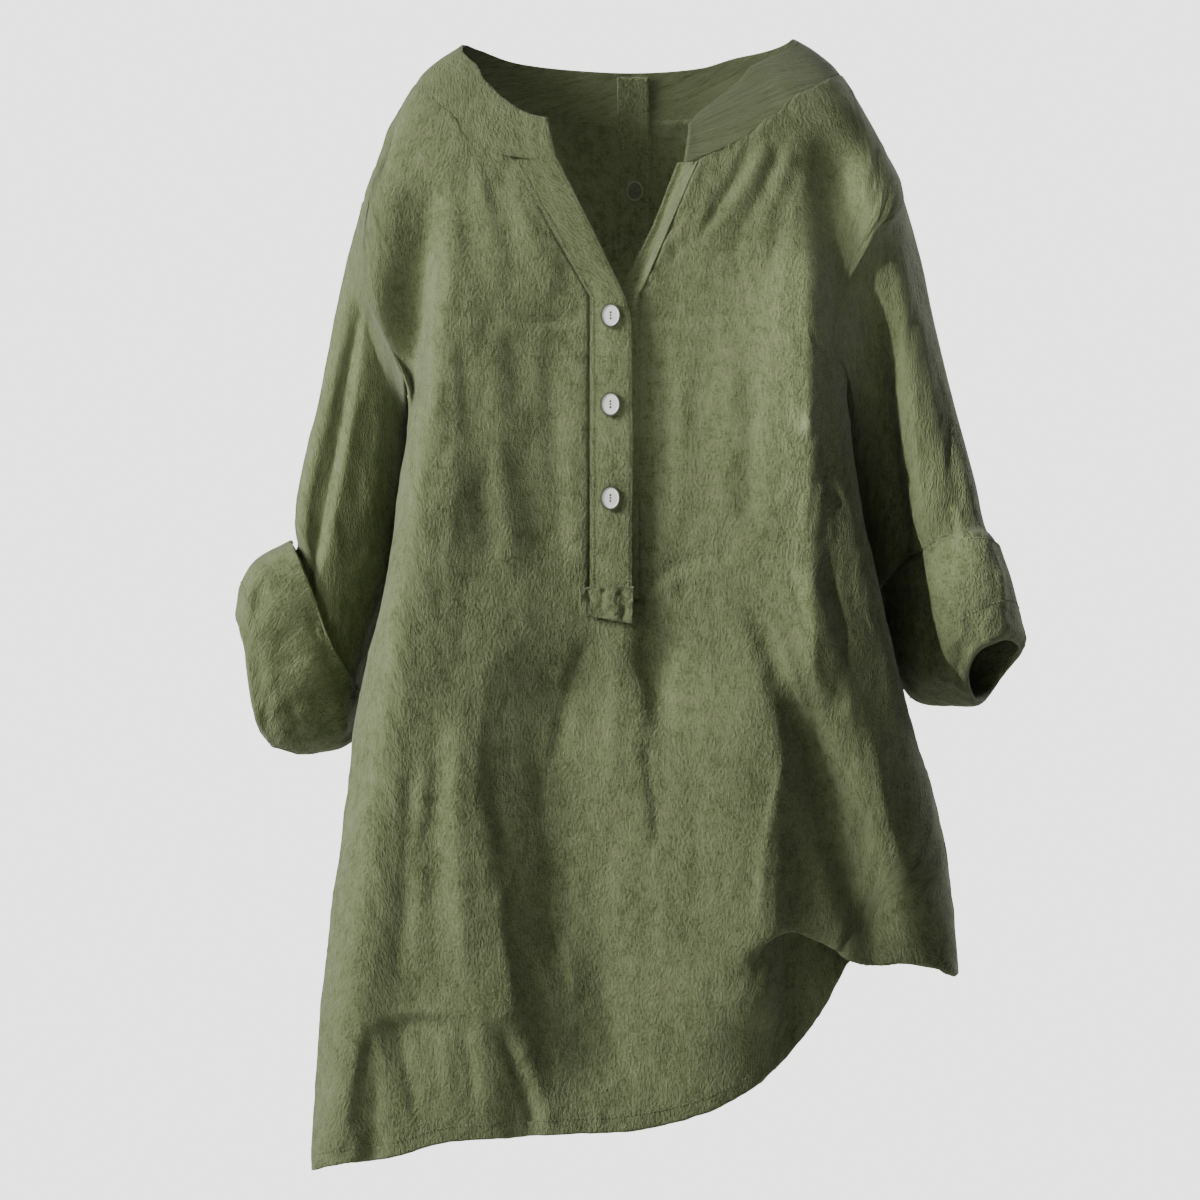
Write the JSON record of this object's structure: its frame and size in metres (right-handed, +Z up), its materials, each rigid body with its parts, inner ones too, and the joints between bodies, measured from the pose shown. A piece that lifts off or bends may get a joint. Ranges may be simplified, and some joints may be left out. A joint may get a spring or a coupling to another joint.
{
  "type": "blouse",
  "caption": "Linen popover blouse with band collar, V neck with buttoned half placket, rolled sleeves and an asymmetric hem tucked up at one side.",
  "frame": {"origin": "where the wearer's shoulders carry it, midway between the two shoulder seams", "axes": "+Z up, front facing -Y, the viewer's right when facing the front at +X"},
  "size_m": [0.564, 0.2457, 0.7994],
  "materials": {
    "linen_panel": "matte slubby linen, sage green",
    "linen_band": "the same linen, doubled and stitched",
    "button": "ivory, softly polished",
    "back_button": "dyed to match the cloth"
  },
  "bodies": {
    "root": {"front_panel": "linen_panel", "back_panel": "linen_panel", "collar_band": "linen_band", "placket_overlap": "linen_band", "placket_underlap": "linen_band", "placket_tab": "linen_band", "sleeve_left": "linen_panel", "sleeve_right": "linen_panel", "cuff_roll_left": "linen_panel", "cuff_roll_right": "linen_panel", "button_top": "button", "button_middle": "button", "button_bottom": "button", "back_neck_strip": "linen_band", "back_strip_button": "back_button"}
  },
  "joints": []
}
